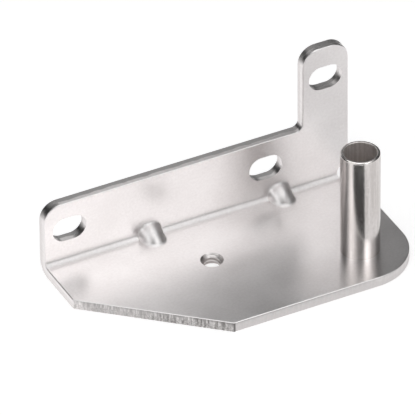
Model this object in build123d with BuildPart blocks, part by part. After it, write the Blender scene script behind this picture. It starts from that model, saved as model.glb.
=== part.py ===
from build123d import *
from math import atan2, cos, radians, sin, tan
import os

os.makedirs("parts", exist_ok=True)

# Hinge bracket for a fridge door: one stamped steel sheet, folded once, with a hollow
# pivot pin set into its plate. The origin is on the pin's axis, on the top face of the
# plate. +Z runs up along the pin, +X along the fold towards the pin's end of the
# bracket, and +Y from the door side towards the cabinet. All lengths are millimetres.

# Sheet
sheet = 3.2
inside_bend_radius = 1.6
edge_rollover = 0.3

# Plate that carries the pin, measured from the pin's axis
pin_to_right_edge = 15.1
pin_to_left_end = 86.5
pin_to_front_edge = 15.5
pin_to_bevel_front = 50.0
left_edge_length = 18.4
pin_corner_radius = 17.0

# Upright flange, screwed to the cabinet, and the tall tab at its pin end
pin_to_flange = 35.2
flange_height = 20.7
flange_end_inset = 0.4
tab_height = 48.4
tab_width = 15.3
outer_corner_radius = 5.5
inner_corner_radius = 2.2

# Slots for the cabinet screws
slot_length = 11.0
slot_width = 8.0
left_slot_inset = 8.3
lower_slot_height = 11.3
lower_slot_spacing = 65.2
tab_slot_to_top = 10.8

# Pressed gussets that stiffen the fold, placed from its left end
gusset_insets = (34.6, 77.8)
gusset_rise = 4.9
gusset_reach = 6.7
gusset_half_width = 3.2
gusset_nose_radius = 1.9
gusset_hollow_radius = 0.8
gusset_blend = 0.9

# Relief notch at the pin end of the fold
relief_radius = 2.0
relief_inset = 1.7
relief_height = 1.3
relief_tilt = 35

# Tapped hole for the door stop, 1/4-20 UNC, bored to the thread's minor diameter
tapped_hole_x = -41.3
tapped_hole_y = 15.4
thread_minor_diameter = 5.1
thread_chamfer_diameter = 7.0
thread_chamfer_angle = 90

# Pivot pin: a drawn tube that seats on its shoulder, with its thinner lower end flared
# into the underside of the plate
pin_diameter = 12.0
pin_wall = 1.0
pin_height = 35.0
pin_shoulder = 0.3
rim_rounding = 0.55
rim_inner_break = 0.2
pin_hole_clearance = 0.04
flare_depth = 1.2
flare_angle = 90

# How far from its nominal place a face may lie and still be picked
reach_of_pick = 0.01

# Places that follow from the sizes
plate_left = -pin_to_left_end
plate_right = pin_to_right_edge
plate_length = plate_right - plate_left
front_y = -pin_to_front_edge
face_y = pin_to_flange
back_y = face_y + sheet
underside_z = -sheet
mid_sheet = sheet / 2
bevel_back_y = face_y - left_edge_length
flange_right = plate_right - flange_end_inset
tab_left = flange_right - tab_width
tab_middle = flange_right - tab_width / 2
left_slot_x = plate_left + left_slot_inset
relief_x = flange_right - relief_inset
gusset_xs = [plate_left + inset for inset in gusset_insets]

# A gusset is a cone with a round nose. Its point is on the flange, and its width and its
# reach where it meets the fold and the plate set its slope and how far it leans forward.
crest_slope = atan2(gusset_reach, gusset_rise)
side_slope = atan2(gusset_half_width, gusset_rise)
cone_slope = atan2(
    1 - cos(side_slope) * cos(crest_slope),
    cos(side_slope) * sin(crest_slope),
)
cone_lean = crest_slope - cone_slope
cone_depth = gusset_rise + 2 * sheet
hollow_drop = sheet / sin(cone_slope)
nose_drop = gusset_nose_radius / tan(cone_slope)
nose_joint_y = face_y - nose_drop * cos(cone_slope) * sin(crest_slope)
nose_joint_z = gusset_rise - nose_drop * cos(cone_slope) * cos(crest_slope)

# The pin's section, and the hole that it sits in
pin_radius = pin_diameter / 2
bore_radius = pin_radius - pin_wall
spigot_radius = pin_radius - pin_shoulder
pin_hole_radius = spigot_radius + pin_hole_clearance
flare_slope = radians(flare_angle / 2)
flare_radius = spigot_radius + flare_depth * tan(flare_slope)
lip_radius = flare_radius - (pin_wall - pin_shoulder) / cos(flare_slope)
lip_rise = (lip_radius - bore_radius) / tan(flare_slope)


def cone_plane(x):
    """Plane through a gusset's axis, with its origin at the point and local +Y upwards."""
    return Plane(
        origin=(x, face_y, gusset_rise),
        x_dir=(1, 0, 0),
        z_dir=(0, -cos(cone_lean), sin(cone_lean)),
    )


def cone_section(nose_radius, drop):
    """Half of a gusset cone's section, with a round nose, its point this far down."""
    joint_x = nose_radius * cos(cone_slope)
    joint_y = -drop - joint_x / tan(cone_slope)
    middle_y = -drop - nose_radius / sin(cone_slope)
    with BuildSketch() as section:
        with BuildLine():
            RadiusArc((0, middle_y + nose_radius), (joint_x, joint_y), nose_radius)
            Polyline(
                (joint_x, joint_y),
                ((cone_depth - drop) * tan(cone_slope), -cone_depth),
                (0, -cone_depth),
                (0, middle_y + nose_radius),
            )
        make_face()
    return section.sketch


# Bracket: the gusset cones come first, clipped to the inside of the fold, then the
# folded sheet is fused to them and trimmed to its plan and its elevation.
with BuildPart() as bracket:
    for gusset_x in gusset_xs:
        with BuildSketch(cone_plane(gusset_x)):
            add(cone_section(gusset_nose_radius, 0))
        revolve(axis=Axis(cone_plane(gusset_x).origin, cone_plane(gusset_x).y_dir))
    with BuildSketch(Plane.YZ.offset(plate_left)):
        with Locations((face_y + mid_sheet, -mid_sheet)):
            Rectangle(2 * gusset_reach, 2 * gusset_reach, align=(Align.MAX, Align.MIN))
    extrude(amount=plate_length, mode=Mode.INTERSECT)

    with BuildSketch(Plane.YZ.offset(plate_left)):
        with BuildLine():
            FilletPolyline(
                (front_y, 0),
                (face_y, 0),
                (face_y, tab_height),
                radius=inside_bend_radius,
            )
            offset(amount=sheet, side=Side.RIGHT)
        make_face()
    extrude(amount=plate_length)

    # Soft line where each ridge rises from the sheet: all edges of its nose and its cone
    # but the one between them
    for gusset_x in gusset_xs:
        joint = (gusset_x, nose_joint_y, nose_joint_z)
        ridge_edges = bracket.faces().sort_by_distance(joint)[:2].edges()
        foot = ridge_edges - ridge_edges.sort_by_distance(joint)[:1]
        fillet(foot, radius=gusset_blend)

    # Plan of the blank: square left end, bevel, and a round corner beside the pin
    with BuildSketch(Plane.XY.offset(underside_z)) as plan:
        with BuildLine():
            Polyline(
                (plate_left, back_y),
                (plate_left, bevel_back_y),
                (-pin_to_bevel_front, front_y),
                (plate_right, front_y),
                (plate_right, back_y),
                close=True,
            )
        make_face()
        pin_corner = plan.vertices().group_by(Axis.Y)[0].sort_by(Axis.X)[-1]
        fillet(pin_corner, radius=pin_corner_radius)
    extrude(amount=sheet + tab_height, mode=Mode.INTERSECT)

    # Elevation of the blank: long low flange stepping up to the tab
    with BuildSketch(Plane.XZ.offset(-back_y)) as elevation:
        with BuildLine():
            Polyline(
                (plate_left, underside_z),
                (plate_right, underside_z),
                (plate_right, relief_height),
                (flange_right, relief_height),
                (flange_right, tab_height),
                (tab_left, tab_height),
                (tab_left, flange_height),
                (plate_left, flange_height),
                close=True,
            )
        make_face()
        step = elevation.vertices().group_by(Axis.Y)[-2].sort_by(Axis.X)[-1]
        fillet(step, radius=inner_corner_radius)
        tab_corners = elevation.vertices().group_by(Axis.Y)[-1]
        end_corner = elevation.vertices().group_by(Axis.X)[0].sort_by(Axis.Y)[-1:]
        fillet(tab_corners + end_corner, radius=outer_corner_radius)
    extrude(amount=back_y - front_y, mode=Mode.INTERSECT)

    # Hollow that the punch leaves behind each gusset, a sheet's thickness inside it
    for gusset_x in gusset_xs:
        with BuildSketch(cone_plane(gusset_x)):
            add(cone_section(gusset_hollow_radius, hollow_drop))
        revolve(
            axis=Axis(cone_plane(gusset_x).origin, cone_plane(gusset_x).y_dir),
            mode=Mode.SUBTRACT,
        )

    # Rolled edges on the side that the punch entered, clear of the fold
    near_top = bracket.faces().filter_by(Plane.XY)
    plate_top = near_top.filter_by_position(Axis.Z, -reach_of_pick, reach_of_pick)[0]
    plate_rim = plate_top.outer_wire().edges()
    plate_rim = plate_rim.filter_by_position(Axis.Y, front_y, face_y - gusset_reach)
    near_face = bracket.faces().filter_by(Plane.XZ)
    flange_face = near_face.filter_by_position(
        Axis.Y, face_y - reach_of_pick, face_y + reach_of_pick
    )[0]
    flange_rim = flange_face.outer_wire().edges()
    flange_rim = flange_rim.filter_by_position(Axis.Z, gusset_rise + gusset_blend, tab_height)
    fillet(plate_rim + flange_rim, radius=edge_rollover)

    # Relief notch across the pin end of the fold, open to the right
    notch_plane = Plane(
        origin=(relief_x, face_y, relief_height),
        x_dir=(1, 0, 0),
        z_dir=(0, cos(radians(relief_tilt)), -sin(radians(relief_tilt))),
    )
    with BuildSketch(notch_plane):
        Circle(relief_radius)
        Rectangle(
            plate_right - relief_x,
            2 * relief_radius,
            align=(Align.MIN, Align.CENTER),
        )
    extrude(amount=2 * sheet, both=True, mode=Mode.SUBTRACT)

    # Slots for the cabinet screws: two along the low flange and one in the tab
    with BuildSketch(Plane.XZ.offset(-face_y)):
        with Locations(
            (left_slot_x, lower_slot_height),
            (left_slot_x + lower_slot_spacing, lower_slot_height),
            (tab_middle, tab_height - tab_slot_to_top),
        ):
            SlotOverall(slot_length, slot_width)
    extrude(amount=-sheet, mode=Mode.SUBTRACT)

    # Tapped hole, chamfered on the top face
    with Locations(Location((tapped_hole_x, tapped_hole_y, 0))):
        CounterSinkHole(
            thread_minor_diameter / 2,
            thread_chamfer_diameter / 2,
            counter_sink_angle=thread_chamfer_angle,
        )

    # Pin hole, countersunk from the underside for the flared end of the pin
    with Locations(Plane.XY.offset(underside_z).rotated((180, 0, 0))):
        CounterSinkHole(pin_hole_radius, flare_radius, counter_sink_angle=flare_angle)

bracket.part.label = "bracket"
export_step(bracket.part, "parts/bracket.step")

# Pivot pin: open right through, rounded at the rim, seated on its shoulder and flared
# flush with the underside
with BuildPart() as pivot_tube:
    with BuildSketch(Plane.XZ) as wall_section:
        with BuildLine():
            Polyline(
                (bore_radius, pin_height),
                (pin_radius, pin_height),
                (pin_radius, 0),
                (spigot_radius, 0),
                (spigot_radius, underside_z + flare_depth),
                (flare_radius, underside_z),
                (lip_radius, underside_z),
                (bore_radius, underside_z + lip_rise),
                close=True,
            )
        make_face()
        rim = wall_section.vertices().group_by(Axis.Y)[-1].sort_by(Axis.X)
        fillet(rim[-1], radius=rim_rounding)
        inner_rim = wall_section.vertices().group_by(Axis.Y)[-1].sort_by(Axis.X)[0]
        chamfer(inner_rim, length=rim_inner_break)
    revolve(axis=Axis.Z)

pivot_tube.part.label = "pivot_tube"
export_step(pivot_tube.part, "parts/pivot_tube.step")
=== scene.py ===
"""Fridge door hinge: a folded steel bracket with a hollow pivot pin, in soft studio light.

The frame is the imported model's own: metres, the origin on the pin's axis at the top
face of the plate, +Z up along the pin, +X along the fold towards the pin's end, and +Y
from the door side towards the cabinet.
"""

import logging
import math
from dataclasses import dataclass, field
from enum import Enum
from typing import Optional, Union

import bmesh
import bpy
import numpy as np
from mathutils import Matrix, Vector


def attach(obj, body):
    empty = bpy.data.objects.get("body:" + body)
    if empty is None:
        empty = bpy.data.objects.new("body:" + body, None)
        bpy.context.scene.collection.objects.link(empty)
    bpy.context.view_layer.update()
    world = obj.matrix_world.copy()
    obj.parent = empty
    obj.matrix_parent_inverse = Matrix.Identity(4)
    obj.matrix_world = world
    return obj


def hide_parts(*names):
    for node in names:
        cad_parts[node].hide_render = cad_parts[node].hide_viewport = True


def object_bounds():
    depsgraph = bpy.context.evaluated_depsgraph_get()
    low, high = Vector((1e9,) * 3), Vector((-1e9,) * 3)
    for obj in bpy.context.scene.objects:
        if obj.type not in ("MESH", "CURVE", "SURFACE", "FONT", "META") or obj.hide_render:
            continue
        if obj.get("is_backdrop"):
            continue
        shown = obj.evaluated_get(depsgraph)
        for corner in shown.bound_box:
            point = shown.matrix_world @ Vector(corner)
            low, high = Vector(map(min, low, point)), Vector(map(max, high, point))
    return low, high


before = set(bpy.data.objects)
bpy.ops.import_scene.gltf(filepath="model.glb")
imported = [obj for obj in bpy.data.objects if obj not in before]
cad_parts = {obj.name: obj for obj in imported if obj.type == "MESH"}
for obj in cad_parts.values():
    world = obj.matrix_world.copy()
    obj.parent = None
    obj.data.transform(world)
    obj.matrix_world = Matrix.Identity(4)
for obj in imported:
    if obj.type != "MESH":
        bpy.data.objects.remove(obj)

LOG = logging.getLogger("hinge")
RGB = tuple[float, float, float]
Triple = tuple[float, float, float]
Pair = tuple[float, float]

# What a node's output is, and what its input takes: an output, a plain value or nothing
Socket = bpy.types.NodeSocket
Value = Optional[Union[Socket, float, tuple]]

MM = 0.001
DIAGONAL = math.sqrt(0.5)
WHITE = (1.0, 1.0, 1.0, 1.0)

# Places that several classes share, in millimetres: the middles of the gussets along the
# fold, the tapped hole's axis, and where the cards of the studio lie and stand
GUSSET_MIDDLES: Pair = (-51.9, -8.7)
TAPPED_HOLE: Pair = (-41.3, 15.4)
LYING_CARD_Z = -3.1
STANDING_CARD_Y = 120.0


class Zone(Enum):
    """Places on the sheet that are finished in different ways, in material slot order."""

    SKIN = 0
    CUT = 1


# --------------------------------------------------------------------------- node trees


class Graph:
    """A node tree with short calls for the nodes that the finishes are made of."""

    def __init__(self, tree: bpy.types.NodeTree) -> None:
        """Takes the tree and empties it.

        Args:
            tree: the shader or geometry node tree to fill.
        """
        self.tree = tree
        tree.nodes.clear()

    def add(self, kind: str, inputs: Optional[dict] = None, **settings: str) -> bpy.types.Node:
        """Adds one node.

        Args:
            kind: the node's type name.
            inputs: value or socket for each input, by name or number.
            **settings: the node's own settings.

        Returns:
            The new node.
        """
        node = self.tree.nodes.new(kind)
        for name, value in settings.items():
            setattr(node, name, value)
        for name, value in (inputs or {}).items():
            self.feed(node.inputs[name], value)
        return node

    def feed(self, socket: Socket, value: Value) -> None:
        """Links a socket to another, or sets its value.

        Args:
            socket: the input to feed.
            value: an output socket or a plain value.
        """
        if isinstance(value, Socket):
            self.tree.links.new(value, socket)
        elif value is not None:
            socket.default_value = value

    def math(self, operation: str, a: Value, b: Value = None, c: Value = None) -> Socket:
        """One arithmetic step on numbers, as the Math node names it."""
        return self.add("ShaderNodeMath", {0: a, 1: b, 2: c}, operation=operation).outputs[0]

    def vector(self, operation: str, a: Value, b: Value = None) -> Socket:
        """One step on vectors that gives a vector, as the Vector Math node names it."""
        return self.add("ShaderNodeVectorMath", {0: a, 1: b}, operation=operation).outputs[0]

    def relief(self, height: Value, facing: Value = None) -> Socket:
        """The normal of a surface with a fine relief.

        Args:
            height: the relief's height in metres.
            facing: the smooth surface's normal, where it isn't the mesh's own.

        Returns:
            The normal.
        """
        values = {"Strength": 1.0, "Distance": 1.0, "Height": height, "Normal": facing}
        return self.add("ShaderNodeBump", values).outputs[0]

    def noise(self, at: Value, scale: float, detail: float = 2.0, rough: float = 0.5) -> Socket:
        """Smooth noise from 0 to 1.

        Args:
            at: the place.
            scale: waves to each unit of it.
            detail: how many finer layers are added.
            rough: how strong the finer layers are.

        Returns:
            The noise's value.
        """
        values = {"Vector": at, "Scale": scale, "Detail": detail, "Roughness": rough}
        return self.add("ShaderNodeTexNoise", values).outputs[0]

    def span(
        self, value: Value, low: float, high: float, to_low: float = 0.0, to_high: float = 1.0
    ) -> Socket:
        """Maps a range onto another with smooth ends.

        Args:
            value: the number to map.
            low: where the range starts.
            high: where it ends.
            to_low: the result at its start.
            to_high: the result at its end.

        Returns:
            The mapped value.
        """
        ends = {
            "Value": value,
            "From Min": low,
            "From Max": high,
            "To Min": to_low,
            "To Max": to_high,
        }
        node = self.add("ShaderNodeMapRange", ends, interpolation_type="SMOOTHSTEP")
        return node.outputs[0]

    def rest(self, value: Value) -> Socket:
        """What a value leaves of 1."""
        return self.math("SUBTRACT", 1.0, value)

    def squared(self, vector: Value) -> Socket:
        """Square of a vector's length."""
        node = self.add("ShaderNodeVectorMath", {0: vector, 1: vector}, operation="DOT_PRODUCT")
        return node.outputs["Value"]

    def blend(self, share: Value, a: Value, b: Value) -> Socket:
        """Mixes two colours.

        Args:
            share: how much of the second colour, from 0 to 1.
            a: first colour.
            b: second colour.

        Returns:
            The mixed colour.
        """
        a, b = (((*c, 1.0) if isinstance(c, tuple) and len(c) == 3 else c) for c in (a, b))
        node = self.add("ShaderNodeMix", {0: share, 6: a, 7: b}, data_type="RGBA")
        return node.outputs[2]

    def parts(self, vector: Value) -> tuple[Socket, ...]:
        """The x, y and z of a vector socket."""
        return tuple(self.add("ShaderNodeSeparateXYZ", {0: vector}).outputs)

    def joined(self, x: Value, y: Value, z: Value) -> Socket:
        """A vector from its x, y and z."""
        return self.add("ShaderNodeCombineXYZ", {0: x, 1: y, 2: z}).outputs[0]

    def millimetres(self) -> Socket:
        """The place on the piece in millimetres."""
        place = self.add("ShaderNodeTexCoord").outputs["Object"]
        return self.vector("MULTIPLY", place, (1 / MM,) * 3)

    def band(self, value: Value, middle: float, half: float, soft: float) -> Socket:
        """A value of 1 within a band and 0 outside it.

        Args:
            value: the number to test.
            middle: the band's middle.
            half: half of its width.
            soft: width of its soft edge.

        Returns:
            The band's mask.
        """
        away = self.math("ABSOLUTE", self.math("SUBTRACT", value, middle))
        return self.span(away, half - soft / 2, half + soft / 2, 1.0, 0.0)

    def surface(self, shader: bpy.types.Node) -> None:
        """Ends a material's tree with this shader."""
        self.add("ShaderNodeOutputMaterial", {"Surface": shader.outputs[0]})

    def metal(self, colour: Value, rough: Value, normal: Value) -> None:
        """Ends a material's tree with bare metal.

        Args:
            colour: the metal's colour.
            rough: its roughness.
            normal: its normal.
        """
        values = {"Base Color": colour, "Metallic": 1.0, "Roughness": rough, "Normal": normal}
        self.surface(self.add("ShaderNodeBsdfPrincipled", values))

    def glow(self, colour: Value, strength: Value) -> bpy.types.Node:
        """Light that a surface sheds by itself.

        Args:
            colour: its colour, with a fourth value of 1.
            strength: how bright it is.

        Returns:
            The shader.
        """
        return self.add("ShaderNodeEmission", {"Color": colour, "Strength": strength})


def blank(name: str) -> tuple[bpy.types.Material, Graph]:
    """Makes a material whose tree is still empty.

    Args:
        name: the material's name.

    Returns:
        The material and its tree.
    """
    material = bpy.data.materials.new(name)
    material.use_nodes = True
    return material, Graph(material.node_tree)


# ----------------------------------------------------------------------------- finishes


@dataclass(frozen=True)
class Fold:
    """Where the sheet turns up, in millimetres, for finishes that follow it."""

    bend_y: float = 33.6
    bend_z: float = 1.6
    radius: float = 1.6

    def depth(self, g: Graph, y: Value, z: Value) -> Socket:
        """Depth below the sheet's inside face.

        Args:
            g: the material's node tree.
            y: socket with the place's y.
            z: socket with its z.

        Returns:
            The depth, from 0 at the inside face to the sheet's thickness.
        """
        over = g.math("MAXIMUM", g.math("SUBTRACT", y, self.bend_y), 0.0)
        under = g.math("MAXIMUM", g.math("SUBTRACT", self.bend_z, z), 0.0)
        squares = g.math("MULTIPLY_ADD", over, over, g.math("MULTIPLY", under, under))
        return g.math("SUBTRACT", g.math("SQRT", squares), self.radius)

    def outwards(self, g: Graph, y: Value, z: Value) -> Socket:
        """Way from the sheet's inside face to its outside face.

        Args:
            g: the material's node tree.
            y: socket with the place's y.
            z: socket with its z.

        Returns:
            The unit vector.
        """
        over = g.math("MAXIMUM", g.math("SUBTRACT", y, self.bend_y), 0.0)
        under = g.math("MINIMUM", g.math("SUBTRACT", z, self.bend_z), 0.0)
        return g.vector("NORMALIZE", g.joined(0.0, over, under))

    def through(self, spot: Vector) -> Vector:
        """Way through the sheet at a place.

        Args:
            spot: the place, in millimetres.

        Returns:
            The unit vector square to the sheet there.
        """
        way = Vector((0.0, max(spot.y - self.bend_y, 0.0), -max(self.bend_z - spot.z, 0.0)))
        return way.normalized()


@dataclass(frozen=True)
class SatinPlating:
    """Dull plated skin of the rolled sheet: pale grey, clouded, with a fine grain.

    The press has roughened it further along the fold and over the gussets. Sizes are in
    millimetres, and a gusset's fade is given as squares of the distance from its middle.
    """

    light: RGB = (0.90, 0.868, 0.865)
    dark: RGB = (0.81, 0.776, 0.772)
    contrast: Pair = (0.3, 0.7)
    roughness: float = 0.295
    roughness_swing: float = 0.015
    pressed_roughness: float = 0.16
    fold_fade_y: Pair = (-0.6, 0.4)
    fold_fade_z: Pair = (1.4, -0.4)
    cloud_size: float = 14.0
    cloud_detail: float = 3.0
    grain_size: float = 0.8
    grain_share: float = 0.45
    grain_depth: float = 0.002
    tool_mark_y: float = 32.75
    tool_mark_half: float = 0.13
    tool_mark_soft: float = 0.12
    tool_mark_half_rise: float = 0.3
    tool_mark_soft_rise: float = 0.2
    tool_mark_depth: float = 0.03
    gusset_y: float = 32.5
    gusset_z: float = 2.0
    gusset_fade: Pair = (14.0, 30.0)
    gusset_share: float = 0.8
    fold: Fold = field(default_factory=Fold)

    def pressed(self, g: Graph, place: Value) -> Socket:
        """How much the press has dulled the skin.

        Args:
            How much the press has roughened the skin.
            place: socket with the place in millimetres.

        Returns:
            The share, 1 in the fold and 0 on the flat skin.
        """
        _, y, z = g.parts(place)
        share = g.math(
            "MULTIPLY",
            g.span(y, *(self.fold.bend_y + reach for reach in self.fold_fade_y)),
            g.span(z, *(self.fold.bend_z + reach for reach in self.fold_fade_z)),
        )
        for middle in GUSSET_MIDDLES:
            away = g.vector("SUBTRACT", place, (middle, self.gusset_y, self.gusset_z))
            over_gusset = g.span(g.squared(away), *self.gusset_fade, self.gusset_share, 0.0)
            share = g.math("MAXIMUM", share, over_gusset)
        return share

    def tool_mark(self, g: Graph, place: Value) -> Socket:
        """Where the folding tool left its line on the plate.

        Args:
            g: the material's node tree.
            place: socket with the place in millimetres.

        Returns:
            The line's mask, from 0 to 1.
        """
        _, y, z = g.parts(place)
        across = g.band(y, self.tool_mark_y, self.tool_mark_half, self.tool_mark_soft)
        up = g.band(z, 0.0, self.tool_mark_half_rise, self.tool_mark_soft_rise)
        return g.math("MULTIPLY", across, up)

    def make(self, name: str) -> bpy.types.Material:
        """Builds the material.

        Args:
            name: the material's name.

        Returns:
            The finished material.
        """
        material, g = blank(name)
        place = g.millimetres()
        cloud = g.noise(place, 1 / self.cloud_size, self.cloud_detail)
        grain = g.noise(place, 1 / self.grain_size)
        clouded = g.math("MULTIPLY", cloud, 1 - self.grain_share)
        tone = g.math("MULTIPLY_ADD", grain, self.grain_share, clouded)
        swing = self.roughness_swing
        rough = g.span(cloud, *self.contrast, self.roughness - swing, self.roughness + swing)
        mark = g.math("MULTIPLY", self.tool_mark(g, place), self.tool_mark_depth * MM)
        g.metal(
            g.blend(g.span(tone, *self.contrast), self.dark, self.light),
            g.math("MULTIPLY_ADD", self.pressed(g, place), self.pressed_roughness, rough),
            g.relief(g.math("MULTIPLY_ADD", grain, self.grain_depth * MM, mark)),
        )
        return material


@dataclass(frozen=True)
class ShearedEdge:
    """Cut edge of the blank: a burnished band with upright scores above a rough break.

    Depths are measured in millimetres from the sheet's inside face, where the punch entered. Tops
    and arcs of the upright flange carry painted shade, darker by which way they face, and the
    front corner is made darker too; the patchy shade just under the edge's lip is painted shade
    as well.
    """

    light: RGB = (0.88, 0.85, 0.84)
    dark: RGB = (0.26, 0.245, 0.24)
    plain: RGB = (0.84, 0.805, 0.80)
    burnished_roughness: float = 0.30
    broken_roughness: float = 0.46
    flange_from: float = 0.6
    score_size: float = 0.75
    score_detail: Pair = (4.0, 0.65)
    score_drift: float = 0.12
    score_contrast: Pair = (0.36, 0.66)
    score_relief: float = 0.05
    crumble_size: float = 0.5
    crumble_detail: Pair = (3.0, 0.6)
    crumble_contrast: Pair = (0.35, 0.65)
    crumble_share: float = 0.5
    crumble_relief: float = 0.08
    # Painted shade just under the edge's lip, in patches
    lip_depth: float = 0.45
    lip_fade: Pair = (-0.15, 0.5)
    lip_shade: float = 0.55
    lip_patch_size: float = 4.0
    lip_contrast: Pair = (0.35, 0.6)
    break_depth: float = 1.5
    break_waver: float = 1.6
    break_waver_size: float = 5.0
    break_soft: float = 0.25
    break_slant: float = 0.16
    # Painted shade on the flange's tops and arcs by which way they face, and a darker front
    # corner
    top_rise: Pair = (0.3, 0.8)
    top_shade: float = 0.14
    top_break_shade: float = 0.38
    arc_rise: float = 0.55
    arc_half: float = 0.27
    arc_soft: float = 0.2
    arc_shade: float = 0.34
    corner_x: float = -49.8
    corner_half: float = 0.3
    corner_soft: float = 0.3
    corner_shade: float = 0.65
    bevel_end_x: float = -50.0
    bevel_end_soft: float = 0.3
    left_end_x: float = -86.5
    left_end_fade: Pair = (0.05, 0.3)
    torn_x: float = -68.0
    torn_reach: float = 6.0
    torn_strength: Pair = (0.5, 0.9)
    plain_strength: float = 0.1
    fold: Fold = field(default_factory=Fold)

    def broken(self, g: Graph, lengthwise: Value, depth: Value) -> Socket:
        """Where the sheet broke instead of being cut.

        Args:
            g: the material's node tree.
            lengthwise: socket with the place along the edge.
            depth: socket with the depth below the inside face.

        Returns:
            The share, 0 in the burnished band and 1 in the break.
        """
        waver = g.noise(lengthwise, 1 / self.break_waver_size)
        waver = g.math("SUBTRACT", waver, 0.5)
        line = g.math("MULTIPLY_ADD", waver, self.break_waver, self.break_depth)
        past = g.math("SUBTRACT", depth, line)
        return g.span(past, -self.break_soft, self.break_soft)

    def strength(self, g: Graph, x: Value, level: Value) -> Socket:
        """How strongly an edge is scored: most on the bevel, and faintly elsewhere.

        Args:
            g: the material's node tree.
            x: socket with the place's x.
            level: socket that is 1 on the plate's edges and 0 on the flange's.

        Returns:
            The strength.
        """
        soft = self.bevel_end_soft
        before_end = g.span(x, self.bevel_end_x - soft, self.bevel_end_x + soft, 1.0, 0.0)
        past_start = g.span(x, *(self.left_end_x + reach for reach in self.left_end_fade))
        bevel = g.math("MULTIPLY", g.math("MULTIPLY", before_end, past_start), level)
        start, end = self.torn_x - self.torn_reach, self.torn_x + self.torn_reach
        torn = g.span(x, start, end, *self.torn_strength)
        return g.math("MULTIPLY_ADD", bevel, torn, self.plain_strength)

    def scoring_and_lip_shade(self, g: Graph, scores: Value, crumble: Value, broken: Value, lip: Value) -> Socket:
        """How bright the cut metal is, with the painted shade under the edge's lip taken off.

        Args:
            g: the material's node tree.
            scores: socket with the upright scores.
            crumble: socket with the crumbled grain of the break.
            broken: socket with the share of the break.
            lip: socket with the painted shade under the edge's lip.

        Returns:
            The share of the light colour.
        """
        in_break = g.math("MULTIPLY", broken, self.crumble_share)
        scored = g.span(scores, *self.score_contrast)
        crumbled = g.span(crumble, *self.crumble_contrast)
        both = g.math(
            "ADD",
            g.math("MULTIPLY", scored, g.rest(in_break)),
            g.math("MULTIPLY", crumbled, in_break),
        )
        return g.math("MULTIPLY", both, g.rest(lip))

    def lip(self, g: Graph, lengthwise: Value, depth: Value) -> Socket:
        """Patchy painted shade just under the edge's lip.

        Args:
            g: the material's node tree.
            lengthwise: socket with the place along the edge.
            depth: socket with the depth below the inside face.

        Returns:
            The share to take from the brightness.
        """
        low, high = (self.lip_depth + reach for reach in self.lip_fade)
        shade = g.span(depth, low, high, self.lip_shade, 0.0)
        patches = g.noise(lengthwise, 1 / self.lip_patch_size, *self.crumble_detail)
        return g.math("MULTIPLY", shade, g.span(patches, *self.lip_contrast))

    def painted_shade_and_dark_corner(self, g: Graph, x: Value, upright: Value, broken: Value, facing: Value) -> Socket:
        """Painted shade: how much darker tops and arcs of the flange are by which way they face,
        and how much darker the front corner is made.

        Args:
            g: the material's node tree.
            x: socket with the place's x.
            upright: socket that is 1 on the flange's edges and 0 on the plate's.
            broken: socket with the share of the break.
            facing: socket with the surface's normal.

        Returns:
            The share to take from the colour.
        """
        rise = g.parts(facing)[2]
        on_top = g.math("MULTIPLY", upright, g.span(rise, *self.top_rise))
        top = g.math("MULTIPLY_ADD", broken, self.top_break_shade, self.top_shade)
        arc = g.band(rise, self.arc_rise, self.arc_half, self.arc_soft)
        on_arc = g.math("MULTIPLY", upright, arc)
        both = g.math("MULTIPLY_ADD", on_arc, self.arc_shade, g.math("MULTIPLY", top, on_top))
        corner = g.band(x, self.corner_x, self.corner_half, self.corner_soft)
        on_corner = g.math("MULTIPLY", corner, g.rest(upright))
        return g.math("MULTIPLY_ADD", on_corner, self.corner_shade, both)

    def make(self, name: str) -> bpy.types.Material:
        """Builds the material.

        Args:
            name: the material's name.

        Returns:
            The finished material.
        """
        material, g = blank(name)
        place = g.millimetres()
        x, y, z = g.parts(place)
        depth = self.fold.depth(g, y, z)
        upright = g.math("GREATER_THAN", z, self.flange_from)
        level = g.rest(upright)
        lengthwise = g.joined(x, g.math("MULTIPLY", y, level), g.math("MULTIPLY", z, upright))
        drift = g.math("MULTIPLY", depth, self.score_drift)
        along = g.vector("ADD", lengthwise, g.joined(drift, drift, 0.0))
        scores = g.noise(along, 1 / self.score_size, *self.score_detail)
        crumble = g.noise(place, 1 / self.crumble_size, *self.crumble_detail)
        broken = self.broken(g, lengthwise, depth)
        strength = self.strength(g, x, level)
        # Brightness of the scores and the break, less the painted shade under the edge's lip
        scoring_and_lip_shade = self.scoring_and_lip_shade(g, scores, crumble, broken, self.lip(g, lengthwise, depth))
        struck_and_lip_shade = g.blend(scoring_and_lip_shade, self.dark, self.light)
        colour = g.blend(strength, self.plain, struck_and_lip_shade)

        facing = g.add("ShaderNodeNewGeometry").outputs["Normal"]
        # Painted shade by facing on the flange's tops and arcs, and a darker front corner, taken
        # from the colour
        shade = g.rest(self.painted_shade_and_dark_corner(g, x, upright, broken, facing))
        tilt = g.math("MULTIPLY", broken, self.break_slant)
        lean = g.vector("MULTIPLY", self.fold.outwards(g, y, z), g.joined(tilt, tilt, tilt))
        slanted = g.vector("NORMALIZE", g.vector("ADD", facing, lean))
        rubble = g.math("MULTIPLY", g.math("MULTIPLY", crumble, broken), self.crumble_relief * MM)
        relief = g.math("MULTIPLY_ADD", scores, self.score_relief * MM, rubble)
        g.metal(
            g.vector("MULTIPLY", colour, g.joined(shade, shade, shade)),
            g.span(broken, 0.0, 1.0, self.burnished_roughness, self.broken_roughness),
            g.relief(g.math("MULTIPLY", relief, strength), slanted),
        )
        return material


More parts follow.
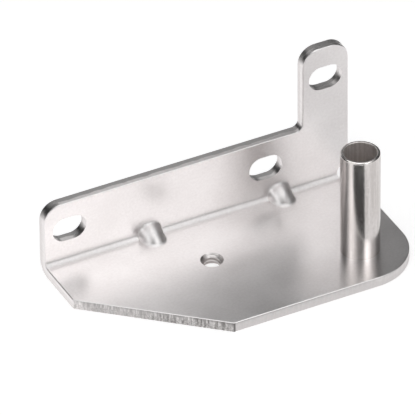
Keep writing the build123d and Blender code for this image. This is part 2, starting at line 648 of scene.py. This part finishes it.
@dataclass(frozen=True)
class CutThread:
    """Bright cut metal of the tapped hole, with marks that run round it."""

    light: RGB = (0.84, 0.80, 0.79)
    dark: RGB = (0.62, 0.58, 0.57)
    roughness: Pair = (0.28, 0.38)
    mark_squeeze: Triple = (1.0, 1.0, 6.0)
    mark_contrast: Pair = (0.2, 0.8)
    mark_relief: float = 0.01

    def make(self, name: str) -> bpy.types.Material:
        """Builds the material.

        Args:
            name: the material's name.

        Returns:
            The finished material.
        """
        material, g = blank(name)
        marks = g.noise(g.vector("MULTIPLY", g.millimetres(), self.mark_squeeze), 1.0)
        g.metal(
            g.blend(marks, self.dark, self.light),
            g.span(marks, *self.mark_contrast, *self.roughness),
            g.relief(g.math("MULTIPLY", marks, self.mark_relief * MM)),
        )
        return material


@dataclass(frozen=True)
class DrawnTube:
    """Bright drawn tube of the pivot pin, with faint draw lines and speckles.

    Its bore is duller. Sizes are in millimetres.
    """

    light: RGB = (0.86, 0.815, 0.80)
    dark: RGB = (0.72, 0.675, 0.655)
    contrast: Pair = (0.38, 0.62)
    roughness: Pair = (0.16, 0.24)
    rough_contrast: Pair = (0.3, 0.7)
    bore_radius: float = 5.0
    bore_fade: Pair = (0.1, 0.3)
    bore_roughness: float = 0.35
    draw_size: float = 0.9
    draw_detail: Pair = (3.0, 0.6)
    draw_stretch: Triple = (1.0, 1.0, 0.06)
    draw_relief: float = 0.002
    speck_size: float = 0.55
    speck_detail: Pair = (2.0, 0.6)
    speck_share: float = 0.4
    speck_relief: float = 0.004

    def make(self, name: str) -> bpy.types.Material:
        """Builds the material.

        Args:
            name: the material's name.

        Returns:
            The finished material.
        """
        material, g = blank(name)
        place = g.millimetres()
        stretched = g.vector("MULTIPLY", place, self.draw_stretch)
        drawn = g.noise(stretched, 1 / self.draw_size, *self.draw_detail)
        specks = g.noise(place, 1 / self.speck_size, *self.speck_detail)
        lined = g.math("MULTIPLY", drawn, 1 - self.speck_share)
        tone = g.math("MULTIPLY_ADD", specks, self.speck_share, lined)
        x, y, _ = g.parts(place)
        out = g.math("SQRT", g.math("MULTIPLY_ADD", x, x, g.math("MULTIPLY", y, y)))
        start, end = (self.bore_radius + reach for reach in self.bore_fade)
        inside = g.span(out, start, end, 1.0, 0.0)
        rough = g.span(specks, *self.rough_contrast, *self.roughness)
        speckled = g.math("MULTIPLY", specks, self.speck_relief * MM)
        g.metal(
            g.blend(g.span(tone, *self.contrast), self.dark, self.light),
            g.math("MULTIPLY_ADD", inside, self.bore_roughness, rough),
            g.relief(g.math("MULTIPLY_ADD", drawn, self.draw_relief * MM, speckled)),
        )
        return material


# ------------------------------------------------------------------------------- pieces


@dataclass(frozen=True)
class GussetNet:
    """The fine net laid over a gusset, in millimetres: a round dome across the fold.

    The dome's ridge runs from the flange down to the plate, and its section along the
    fold is an arc. A soft hollow joins it to the fold on all sides.
    """

    half_width: float = 6.0
    down_plate: float = 6.35
    up_flange: float = 4.65
    columns: int = 81
    rows: int = 73
    dome_radius: float = 3.8
    dome_fall: float = 4.0
    top: float = 2.95
    foot: float = -4.3
    bulge: float = 0.95
    blend: float = 1.1

    @property
    def along_plate(self) -> float:
        """How far the net reaches over the plate from the fold's corner."""
        return self.down_plate / DIAGONAL

    @property
    def along_flange(self) -> float:
        """How far the net reaches up the flange from the fold's corner."""
        return self.up_flange / DIAGONAL

    def bare(self, v: np.ndarray, radius: float) -> np.ndarray:
        """Height of the fold where there is no gusset.

        Args:
            v: places from the plate up to the flange.
            radius: the fold's inside radius.

        Returns:
            The heights above the fold's corner.
        """
        arc = math.sqrt(2.0) * radius - np.sqrt(np.maximum(radius**2 - v**2, 0.0))
        return np.where(np.abs(v) < radius * DIAGONAL, arc, np.abs(v))

    def heights(self, u: np.ndarray, v: np.ndarray, radius: float) -> np.ndarray:
        """Height of the sheet over the whole net.

        Args:
            u: places along the fold, from the gusset's middle.
            v: places from the plate up to the flange.
            radius: the fold's inside radius.

        Returns:
            The heights above the fold's corner, a row for each u.
        """
        middle, half = (self.top + self.foot) / 2, (self.top - self.foot) / 2
        share = (v - middle) / half
        ridge = half + middle * share + self.bulge * (1.0 - share**2)
        inside = np.sqrt(np.maximum(self.dome_radius**2 - u**2, 0.0)) - self.dome_radius
        section = inside - self.dome_fall * np.maximum(np.abs(u) - self.dome_radius, 0.0)
        dome = ridge[None, :] + section[:, None]
        fold = np.broadcast_to(self.bare(v, radius)[None, :], dome.shape)
        near = np.maximum(self.blend - np.abs(dome - fold), 0.0) / self.blend
        return np.maximum(dome, fold) + near**2 * self.blend / 4.0


@dataclass
class BracketSheet:
    """The folded sheet: the CAD's own shape, with its cut edges told from its skin.

    Sizes are in millimetres, apart from the two merging distances, which are in metres. The
    limits tell a cut face and an inside face by their normals.
    """

    hole_mouth: float = 3.5
    hole_slack: float = 0.02
    gusset_line: float = 26.5
    gusset_top: float = 7.0
    face_y: float = 35.2
    cut_limit: float = 0.5
    inside_limit: float = 0.2
    merge: float = 1e-6
    cut_merge: float = 1e-7
    net: GussetNet = field(default_factory=GussetNet)
    skin: SatinPlating = field(default_factory=SatinPlating)
    edge: ShearedEdge = field(default_factory=ShearedEdge)
    fold: Fold = field(default_factory=Fold)

    def zone(self, spot: Vector, normal: Vector) -> Zone:
        """Tells which finish a face has.

        Args:
            spot: the face's middle, in millimetres.
            normal: its normal.

        Returns:
            The zone.
        """
        low = spot.y > self.gusset_line and spot.z < self.gusset_top
        if low and any(abs(spot.x - x) < self.net.half_width for x in GUSSET_MIDDLES):
            return Zone.SKIN
        across = abs(normal.dot(self.fold.through(spot))) < self.cut_limit
        return Zone.CUT if across else Zone.SKIN

    def in_hole(self, face: bmesh.types.BMFace) -> bool:
        """Tells the plain bore of the tapped hole from the rest.

        Args:
            face: the face to test.

        Returns:
            Whether it belongs to the bore.
        """
        x, y = TAPPED_HOLE
        reach = self.hole_mouth + self.hole_slack
        return all(math.hypot(v.co.x / MM - x, v.co.y / MM - y) < reach for v in face.verts)

    def inside_skin(self, face: bmesh.types.BMFace) -> bool:
        """Tells the skin on the fold's inside from the rest.

        Args:
            face: the face to test.

        Returns:
            Whether it belongs to that skin.
        """
        spot = face.calc_center_median() / MM
        inwards = face.normal.z - face.normal.y
        return inwards >= self.inside_limit and self.zone(spot, face.normal) is not Zone.CUT

    def near_net(self, face: bmesh.types.BMFace, middle: float) -> bool:
        """Finds the inside skin that shares some stretch of x with a gusset's net.

        Args:
            face: the face to test.
            middle: the gusset's x, in millimetres.

        Returns:
            Whether it is such a face.
        """
        offsets = [v.co.x / MM - middle for v in face.verts]
        apart = min(offsets) > self.net.half_width or max(offsets) < -self.net.half_width
        return self.inside_skin(face) and not apart

    def under_net(self, face: bmesh.types.BMFace, middle: float) -> bool:
        """Finds the inside skin that lies under a gusset's net.

        Args:
            face: the face to test.
            middle: the gusset's x, in millimetres.

        Returns:
            Whether it is such a face.
        """
        spot = face.calc_center_median() / MM
        return (
            self.inside_skin(face)
            and abs(spot.x - middle) < self.net.half_width
            and spot.y > self.face_y - self.net.along_plate
            and spot.z < self.net.along_flange
        )

    def open_skin(self, bm: bmesh.types.BMesh, middle: float) -> None:
        """Cuts out the inside skin where a gusset's net goes.

        Args:
            bm: the merged sheet.
            middle: the gusset's x, in millimetres.
        """
        net = self.net
        rim = (
            (Vector((middle - net.half_width, 0.0, 0.0)), Vector((1.0, 0.0, 0.0))),
            (Vector((middle + net.half_width, 0.0, 0.0)), Vector((1.0, 0.0, 0.0))),
            (Vector((0.0, self.face_y - net.along_plate, 0.0)), Vector((0.0, 1.0, 0.0))),
            (Vector((0.0, 0.0, net.along_flange)), Vector((0.0, 0.0, 1.0))),
        )
        for spot, way in rim:
            near = [f for f in bm.faces if self.near_net(f, middle)]
            parts = dict.fromkeys(part for f in near for part in (*f.verts, *f.edges, f))
            bmesh.ops.bisect_plane(
                bm, geom=list(parts), dist=self.cut_merge, plane_co=spot * MM, plane_no=way
            )
        covered = [f for f in bm.faces if self.under_net(f, middle)]
        bmesh.ops.delete(bm, geom=covered, context="FACES")

    def soften(self, bm: bmesh.types.BMesh, kept: bmesh.types.BMLayerItem, middle: float) -> None:
        """Swaps the skin over one gusset for a fine net that drapes softly over it.

        The net is laid out square to the fold, u along it and v from the plate up to the
        flange, and its height is measured from the fold's corner, halfway between both.

        Args:
            bm: the merged sheet.
            kept: its layer of corner normals.
            middle: the gusset's x, in millimetres.
        """
        self.open_skin(bm, middle)
        net = self.net
        across = np.linspace(-net.half_width, net.half_width, net.columns)
        up = np.linspace(-net.down_plate, net.up_flange, net.rows)
        height = net.heights(across, up, self.fold.radius)
        slope_u, slope_v = np.gradient(height, across, up)

        def point(i: int, j: int) -> bmesh.types.BMVert:
            """Adds the net's point in a column and row."""
            out, rise = self.face_y + (up[j] - height[i, j]) * DIAGONAL, up[j] + height[i, j]
            return bm.verts.new(MM * Vector((middle + across[i], out, rise * DIAGONAL)))

        points = [[point(i, j) for j in range(net.rows)] for i in range(net.columns)]
        for i in range(net.columns - 1):
            for j in range(net.rows - 1):
                spots = ((i, j), (i + 1, j), (i + 1, j + 1), (i, j + 1))
                face = bm.faces.new([points[a][b] for a, b in spots])
                for loop, (a, b) in zip(face.loops, spots):
                    along, up_hill = slope_u[a, b], slope_v[a, b] * DIAGONAL
                    way = Vector((-along, -up_hill - DIAGONAL, DIAGONAL - up_hill))
                    loop[kept] = way.normalized()

    def shape(self) -> bpy.types.Mesh:
        """Copies the CAD mesh, merges it, softens the gussets and opens the tapped bore.

        Returns:
            The new mesh, with the CAD's own corner normals outside the nets.
        """
        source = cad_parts["bracket"].data
        bm = bmesh.new()
        bm.from_mesh(source)
        kept = bm.loops.layers.float_vector.new("kept_normal")
        for face, polygon in zip(bm.faces, source.polygons):
            for step, loop in enumerate(face.loops):
                loop[kept] = source.corner_normals[polygon.loop_start + step].vector
        bmesh.ops.remove_doubles(bm, verts=bm.verts, dist=self.merge)
        bmesh.ops.delete(bm, geom=[f for f in bm.faces if self.in_hole(f)], context="FACES")
        for middle in GUSSET_MIDDLES:
            self.soften(bm, kept, middle)
        for face in bm.faces:
            face.smooth = True
            face.material_index = self.zone(face.calc_center_median() / MM, face.normal).value
        mesh = bpy.data.meshes.new("bracket_sheet")
        bm.to_mesh(mesh)
        bm.free()
        stored = mesh.attributes["kept_normal"]
        ways = [Vector(item.vector).normalized() for item in stored.data]
        mesh.attributes.remove(stored)
        mesh.normals_split_custom_set(ways)
        return mesh

    def build(self) -> bpy.types.Object:
        """Makes and dresses the sheet.

        Returns:
            The sheet's object.
        """
        mesh = self.shape()
        mesh.materials.append(self.skin.make("satin_plating"))
        mesh.materials.append(self.edge.make("sheared_edge"))
        sheet = bpy.data.objects.new("bracket_sheet", mesh)
        bpy.context.scene.collection.objects.link(sheet)
        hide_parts("bracket")
        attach(sheet, "root")
        return sheet


@dataclass
class DoorStopThread:
    """The thread and the chamfer of the tapped hole.

    Sizes are in millimetres, and the merging distance in metres. The groove's reach and
    its flank are shares of half a pitch. The groove runs out over the last part of the
    length, and run_out says how many such parts the length has.
    """

    crest_radius: float = 2.55
    root_radius: float = 3.175
    mouth_radius: float = 3.5
    pitch: float = 1.27
    length: float = 3.2
    groove_half: float = 0.75
    flank_width: float = 0.625
    run_out: float = 14.0
    merge: float = 1e-6
    around: int = 72
    along: int = 97
    finish: CutThread = field(default_factory=CutThread)

    def tree(self) -> bpy.types.NodeTree:
        """Builds the node tree that winds the thread.

        Returns:
            The tree, with its sizes as named inputs.
        """
        tree = bpy.data.node_groups.new("wound_thread", "GeometryNodeTree")
        g = Graph(tree)
        for name, kind in (
            ("Centre", "Vector"),
            ("Crest radius", "Float"),
            ("Root radius", "Float"),
            ("Mouth radius", "Float"),
            ("Pitch", "Float"),
            ("Length", "Float"),
            ("Around", "Int"),
            ("Along", "Int"),
            ("Finish", "Material"),
        ):
            tree.interface.new_socket(name, in_out="INPUT", socket_type=f"NodeSocket{kind}")
        tree.interface.new_socket("Thread", in_out="OUTPUT", socket_type="NodeSocketGeometry")
        given = g.add("NodeGroupInput").outputs
        sides = {"Vertices X": given["Around"], "Vertices Y": given["Along"]}
        grid = g.add("GeometryNodeMeshGrid", {"Size X": 1.0, "Size Y": 1.0, **sides})
        across, up, _ = g.parts(g.add("GeometryNodeInputPosition").outputs[0])
        turn = g.math("ADD", across, 0.5)
        fall = g.math("SUBTRACT", 0.5, up)
        angle = g.math("MULTIPLY", turn, 2 * math.pi)
        drop = g.math("MULTIPLY", fall, given["Length"])
        wound = g.math("ADD", g.math("DIVIDE", drop, given["Pitch"]), turn)
        wave = g.math("ABSOLUTE", g.math("MULTIPLY_ADD", g.math("FRACT", wound), 2.0, -1.0))
        flank = g.math("DIVIDE", g.math("SUBTRACT", self.groove_half, wave), self.flank_width)
        groove = g.math("MINIMUM", g.math("MAXIMUM", flank, 0.0), 1.0)
        end = g.math("MINIMUM", g.math("MULTIPLY", g.rest(fall), self.run_out), 1.0)
        height = g.math("SUBTRACT", given["Root radius"], given["Crest radius"])
        cut = g.math("MULTIPLY", g.math("MULTIPLY", groove, end), height)
        wall = g.math("ADD", given["Crest radius"], cut)
        chamfer = g.math("SUBTRACT", given["Mouth radius"], drop)
        radius = g.math("MAXIMUM", wall, chamfer)
        spot = g.joined(
            g.math("MULTIPLY", radius, g.math("COSINE", angle)),
            g.math("MULTIPLY", radius, g.math("SINE", angle)),
            g.math("MULTIPLY", drop, -1.0),
        )
        placed = g.vector("MULTIPLY", g.vector("ADD", spot, given["Centre"]), (MM,) * 3)
        shape = grid.outputs[0]
        for kind, inputs in (
            ("GeometryNodeSetPosition", {"Position": placed}),
            ("GeometryNodeMergeByDistance", {"Distance": self.merge}),
            ("GeometryNodeSetShadeSmooth", {"Shade Smooth": False}),
            ("GeometryNodeRealizeInstances", {}),
            ("GeometryNodeSetMaterial", {"Material": given["Finish"]}),
        ):
            shape = g.add(kind, {"Geometry": shape, **inputs}).outputs[0]
        g.add("NodeGroupOutput", {"Thread": shape})
        return tree

    def build(self) -> bpy.types.Object:
        """Winds the thread and makes it a plain mesh.

        Returns:
            The thread's object.
        """
        thread = bpy.data.objects.new("stop_thread", bpy.data.meshes.new("stop_thread"))
        bpy.context.scene.collection.objects.link(thread)
        modifier = thread.modifiers.new("wound_thread", "NODES")
        modifier.node_group = self.tree()
        values = {
            "Centre": (*TAPPED_HOLE, 0.0),
            "Crest radius": self.crest_radius,
            "Root radius": self.root_radius,
            "Mouth radius": self.mouth_radius,
            "Pitch": self.pitch,
            "Length": self.length,
            "Around": self.around,
            "Along": self.along,
            "Finish": self.finish.make("cut_thread"),
        }
        for item in modifier.node_group.interface.items_tree:
            if item.in_out == "INPUT":
                modifier[item.identifier] = values[item.name]
        graph = bpy.context.evaluated_depsgraph_get()
        mesh = bpy.data.meshes.new_from_object(thread.evaluated_get(graph))
        thread.modifiers.remove(modifier)
        thread.data = mesh
        mesh.name = "stop_thread"
        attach(thread, "root")
        return thread


@dataclass
class PivotPin:
    """The hollow pin."""

    finish: DrawnTube = field(default_factory=DrawnTube)

    def build(self) -> bpy.types.Object:
        """Dresses the pin.

        Returns:
            The pin's object.
        """
        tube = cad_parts["pivot_tube"]
        tube.data.materials.clear()
        tube.data.materials.append(self.finish.make("drawn_tube"))
        return tube


# ------------------------------------------------------------------------------- studio


@dataclass(frozen=True)
class Softbox:
    """A lit window in the studio's walls, by its place and reach as angles in degrees.

    Azimuth 0 lies towards -Y and 90 towards +X, and elevation is above the horizon.
    """

    azimuth: float
    half_width: float
    elevation: float
    half_height: float
    strength: float
    edge: float = 5.0

    def glow(self, g: Graph, azimuth: Value, elevation: Value) -> Socket:
        """Strength of this softbox in a direction.

        Args:
            g: the walls' node tree.
            azimuth: socket with the direction's azimuth in degrees.
            elevation: socket with its elevation in degrees.

        Returns:
            The strength, 0 outside the window.
        """
        turned = g.math("WRAP", g.math("SUBTRACT", azimuth, self.azimuth), 180.0, -180.0)
        across = g.math("ABSOLUTE", turned)
        up = g.math("ABSOLUTE", g.math("SUBTRACT", elevation, self.elevation))
        share = g.math(
            "MULTIPLY",
            g.span(across, self.half_width - self.edge, self.half_width + self.edge, 1.0, 0.0),
            g.span(up, self.half_height - self.edge, self.half_height + self.edge, 1.0, 0.0),
        )
        return g.math("MULTIPLY", share, self.strength)


@dataclass(frozen=True)
class Card:
    """A flat card that metal sees in its reflections: a polygon and how bright it is."""

    name: str
    corners: tuple[Triple, ...]
    tone: float

    def place(self) -> bpy.types.Object:
        """Makes the card.

        Returns:
            The card's object, marked as stage.
        """
        mesh = bpy.data.meshes.new(self.name)
        points = [tuple(MM * v for v in corner) for corner in self.corners]
        mesh.from_pydata(points, [], [tuple(range(len(points)))])
        material, g = blank(self.name)
        g.surface(g.glow(WHITE, self.tone))
        mesh.materials.append(material)
        return reflected_only(bpy.data.objects.new(self.name, mesh))


def lying(*spots: Pair) -> tuple[Triple, ...]:
    """Corners of a card that lies just above the floor, from their x and y."""
    return tuple((x, y, LYING_CARD_Z) for x, y in spots)


def standing(*spots: Pair) -> tuple[Triple, ...]:
    """Corners of a card that stands behind the part, from their x and z."""
    return tuple((x, STANDING_CARD_Y, z) for x, z in spots)


def reflected_only(thing: bpy.types.Object) -> bpy.types.Object:
    """Adds a studio object that only glossy rays meet.

    Args:
        thing: the new object.

    Returns:
        The same object, linked and marked as stage.
    """
    bpy.context.scene.collection.objects.link(thing)
    thing.visible_camera = thing.visible_diffuse = thing.visible_transmission = False
    thing.visible_shadow = False
    thing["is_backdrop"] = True
    return thing


@dataclass
class Studio:
    """Pale floor, white surroundings, a soft lamp, the studio's walls and the camera.

    Lengths are in metres, apart from the sensor and the cards' corners in millimetres, and
    angles in degrees. A softbox here gives its azimuth, half width, elevation, half height,
    strength and soft edge, in that order.
    """

    floor_height: float = -3.21 * MM
    floor_radius: float = 2.5
    floor_sides: int = 96
    floor_tone: float = 0.80
    floor_glow: float = 0.52
    wall_radius: float = 0.6
    wall_tone: float = 0.05
    wall_segments: tuple[int, int] = (48, 24)
    wall_tint: RGB = (0.98, 1.0, 1.0)
    surround_light: float = 0.45
    lamp_spot: Triple = (-0.3, -0.2, 0.9)
    lamp_size: float = 0.6
    lamp_power: float = 2.2
    azimuth: float = -26.968
    elevation: float = 35.937
    roll: float = -0.549
    aim: Triple = (-0.042553, 0.0, 0.010638)
    distance: float = 2.56840
    focal_pixels: float = 8762.8
    frame_pixels: float = 415.0
    aim_pixel: Pair = (232.026, 259.133)
    sensor: float = 36.0
    clip: Pair = (0.01, 50.0)
    softboxes: tuple[Softbox, ...] = (
        Softbox(8.0, 8.5, 38.0, 20.0, 2.6, 4.0),
        Softbox(19.0, 19.0, 28.0, 11.0, 1.6, 6.0),
        Softbox(24.0, 14.0, 48.0, 10.0, 1.45, 5.0),
        Softbox(52.0, 15.0, 28.0, 10.0, 0.85, 6.0),
        Softbox(-75.0, 17.0, 28.0, 10.0, 1.9, 5.0),
        Softbox(-52.0, 8.0, 28.0, 10.0, 1.2, 5.0),
        Softbox(-88.0, 20.0, 48.0, 10.0, 1.4, 5.0),
        Softbox(-22.0, 70.0, 66.0, 8.0, 1.3, 5.0),
        Softbox(90.0, 45.0, 66.0, 8.0, 1.6, 6.0),
        Softbox(180.0, 45.0, 66.0, 8.0, 2.6, 6.0),
        Softbox(0.0, 400.0, 85.0, 10.0, 1.5, 5.0),
        Softbox(-15.0, 14.0, 9.0, 9.0, 0.6, 5.0),
        Softbox(174.0, 24.0, 18.0, 14.0, 0.9, 6.0),
        Softbox(-30.0, 18.0, 53.0, 6.0, 1.1, 4.0),
        Softbox(-90.0, 20.0, 8.0, 8.0, 0.4, 5.0),
    )
    near_cards: tuple[Card, ...] = (
        Card(
            "card_back",
            standing((-50, 50), (40, 50), (38, 93), (5, 97), (1, 122), (-50, 122)),
            tone=0.74,
        ),
        Card("card_back_right", standing((42, 50), (90, 50), (90, 170), (48, 170)), tone=0.175),
        Card(
            "card_floor",
            lying((-96, 13), (-55, -24), (-50, -20), (60, -20), (60, 42), (-50, 42), (-80, 13)),
            tone=0.78,
        ),
        Card("card_floor_right", lying((-4, -60), (60, -60), (60, -20), (-1.5, -20)), tone=0.75),
        Card(
            "card_front",
            lying((-55, -24), (-50, -20), (-1.5, -20), (-5, -70), (-80, -70)),
            tone=0.05,
        ),
    )

    def camera(self) -> bpy.types.Object:
        """Sets the camera at the photograph's angle.

        Returns:
            The camera's object.
        """
        a, e, r = (math.radians(v) for v in (self.azimuth, self.elevation, self.roll))
        back = Vector((math.sin(a) * math.cos(e), -math.cos(a) * math.cos(e), math.sin(e)))
        level = (-back).cross(Vector((0, 0, 1))).normalized()
        rise = level.cross(-back)
        right = level * math.cos(r) + rise * math.sin(r)
        up = -level * math.sin(r) + rise * math.cos(r)
        middle = self.frame_pixels / 2
        per_pixel = self.distance / self.focal_pixels
        aside = (self.aim_pixel[0] - middle) * per_pixel
        above = -(self.aim_pixel[1] - middle) * per_pixel
        data = bpy.data.cameras.new("camera")
        data.sensor_width = self.sensor
        data.lens = self.focal_pixels / self.frame_pixels * self.sensor
        data.clip_start, data.clip_end = self.clip
        camera = bpy.data.objects.new("camera", data)
        spot = Vector(self.aim) + back * self.distance - right * aside - up * above
        turn = Matrix((right, up, back)).transposed().to_4x4()
        camera.matrix_world = Matrix.Translation(spot) @ turn
        bpy.context.scene.collection.objects.link(camera)
        bpy.context.scene.camera = camera
        return camera

    def seen(self, g: Graph) -> Socket:
        """Tells the rays that show a surface from those that light others.

        Args:
            g: the node tree of the floor or the world.

        Returns:
            1 for camera, glossy and transmission rays, and 0 for others.
        """
        path = g.add("ShaderNodeLightPath").outputs
        either = g.math("MAXIMUM", path["Is Camera Ray"], path["Is Glossy Ray"])
        return g.math("MAXIMUM", either, path["Is Transmission Ray"])

    def floor(self) -> bpy.types.Object:
        """Lays the plain pale floor under the plate, clear from below like a glass table.

        Returns:
            The floor's object, marked as stage.
        """
        mesh = bpy.data.meshes.new("floor")
        turns = (2 * math.pi * i / self.floor_sides for i in range(self.floor_sides))
        ring = [
            (self.floor_radius * math.cos(t), self.floor_radius * math.sin(t), self.floor_height)
            for t in turns
        ]
        mesh.from_pydata(ring, [], [tuple(range(self.floor_sides))])
        material, g = blank("floor")
        matt = g.add("ShaderNodeBsdfDiffuse", {"Color": (*(self.floor_tone,) * 3, 1.0)})
        glow = g.glow(WHITE, g.math("MULTIPLY", self.seen(g), self.floor_glow))
        both = g.add("ShaderNodeAddShader", {0: matt.outputs[0], 1: glow.outputs[0]})
        under = g.add("ShaderNodeNewGeometry").outputs["Backfacing"]
        clear = g.add("ShaderNodeBsdfTransparent")
        sided = {0: under, 1: both.outputs[0], 2: clear.outputs[0]}
        g.surface(g.add("ShaderNodeMixShader", sided))
        mesh.materials.append(material)
        floor = bpy.data.objects.new("floor", mesh)
        bpy.context.scene.collection.objects.link(floor)
        floor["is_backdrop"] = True
        return floor

    def walls(self) -> bpy.types.Object:
        """Puts up the dark walls with their softboxes, which only reflections show.

        Returns:
            The walls' object, marked as stage.
        """
        bm = bmesh.new()
        around, up = self.wall_segments
        bmesh.ops.create_uvsphere(bm, u_segments=around, v_segments=up, radius=self.wall_radius)
        under = [v for v in bm.verts if v.co.z < self.floor_height]
        bmesh.ops.delete(bm, geom=under, context="VERTS")
        mesh = bpy.data.meshes.new("walls")
        bm.to_mesh(mesh)
        bm.free()
        material, g = blank("walls")
        place = g.add("ShaderNodeTexCoord").outputs["Object"]
        x, y, z = g.parts(g.vector("NORMALIZE", place))
        to_degrees = math.degrees(1.0)
        turn = g.math("ARCTAN2", x, g.math("MULTIPLY", y, -1.0))
        azimuth = g.math("MULTIPLY", turn, to_degrees)
        elevation = g.math("MULTIPLY", g.math("ARCSINE", z), to_degrees)
        total: Value = self.wall_tone
        for box in self.softboxes:
            total = g.math("MAXIMUM", total, box.glow(g, azimuth, elevation))
        g.surface(g.glow((*self.wall_tint, 1.0), total))
        mesh.materials.append(material)
        return reflected_only(bpy.data.objects.new("walls", mesh))

    def world(self) -> None:
        """Surrounds the scene with white, dimmer for the light that it sheds."""
        world = bpy.data.worlds.new("surroundings")
        bpy.context.scene.world = world
        world.use_nodes = True
        g = Graph(world.node_tree)
        dim, bright = (
            g.add("ShaderNodeBackground", {"Color": WHITE, "Strength": strength}).outputs[0]
            for strength in (self.surround_light, 1.0)
        )
        both = g.add("ShaderNodeMixShader", {0: self.seen(g), 1: dim, 2: bright})
        g.add("ShaderNodeOutputWorld", {"Surface": both.outputs[0]})

    def lamp(self) -> bpy.types.Object:
        """Hangs one soft square lamp over the part and turns it to look there.

        Returns:
            The lamp's object.
        """
        data = bpy.data.lights.new("lamp_above", "AREA")
        data.shape, data.size, data.energy = "SQUARE", self.lamp_size, self.lamp_power
        lamp = bpy.data.objects.new("lamp_above", data)
        turn = (Vector(self.lamp_spot) - Vector(self.aim)).to_track_quat("Z", "Y")
        lamp.matrix_world = Matrix.Translation(self.lamp_spot) @ turn.to_matrix().to_4x4()
        bpy.context.scene.collection.objects.link(lamp)
        lamp.visible_glossy = False
        return lamp

    def build(self) -> None:
        """Sets up the whole studio."""
        bpy.context.scene.view_settings.view_transform = "Standard"
        self.camera()
        self.floor()
        self.walls()
        for card in self.near_cards:
            card.place()
        self.world()
        self.lamp()


# --------------------------------------------------------------------------------- main


def corners() -> list[list[float]]:
    """The shown model's lowest and highest corner as plain numbers."""
    return [[float(v) for v in corner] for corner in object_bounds()]


def main() -> None:
    logging.basicConfig(level=logging.INFO, format="%(name)s: %(message)s")
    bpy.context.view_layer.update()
    for maker in (BracketSheet(), DoorStopThread(), PivotPin()):
        piece = maker.build()
        LOG.info("%s: %d faces", piece.name, len(piece.data.polygons))
    Studio().build()


if __name__ == "__main__":
    main()
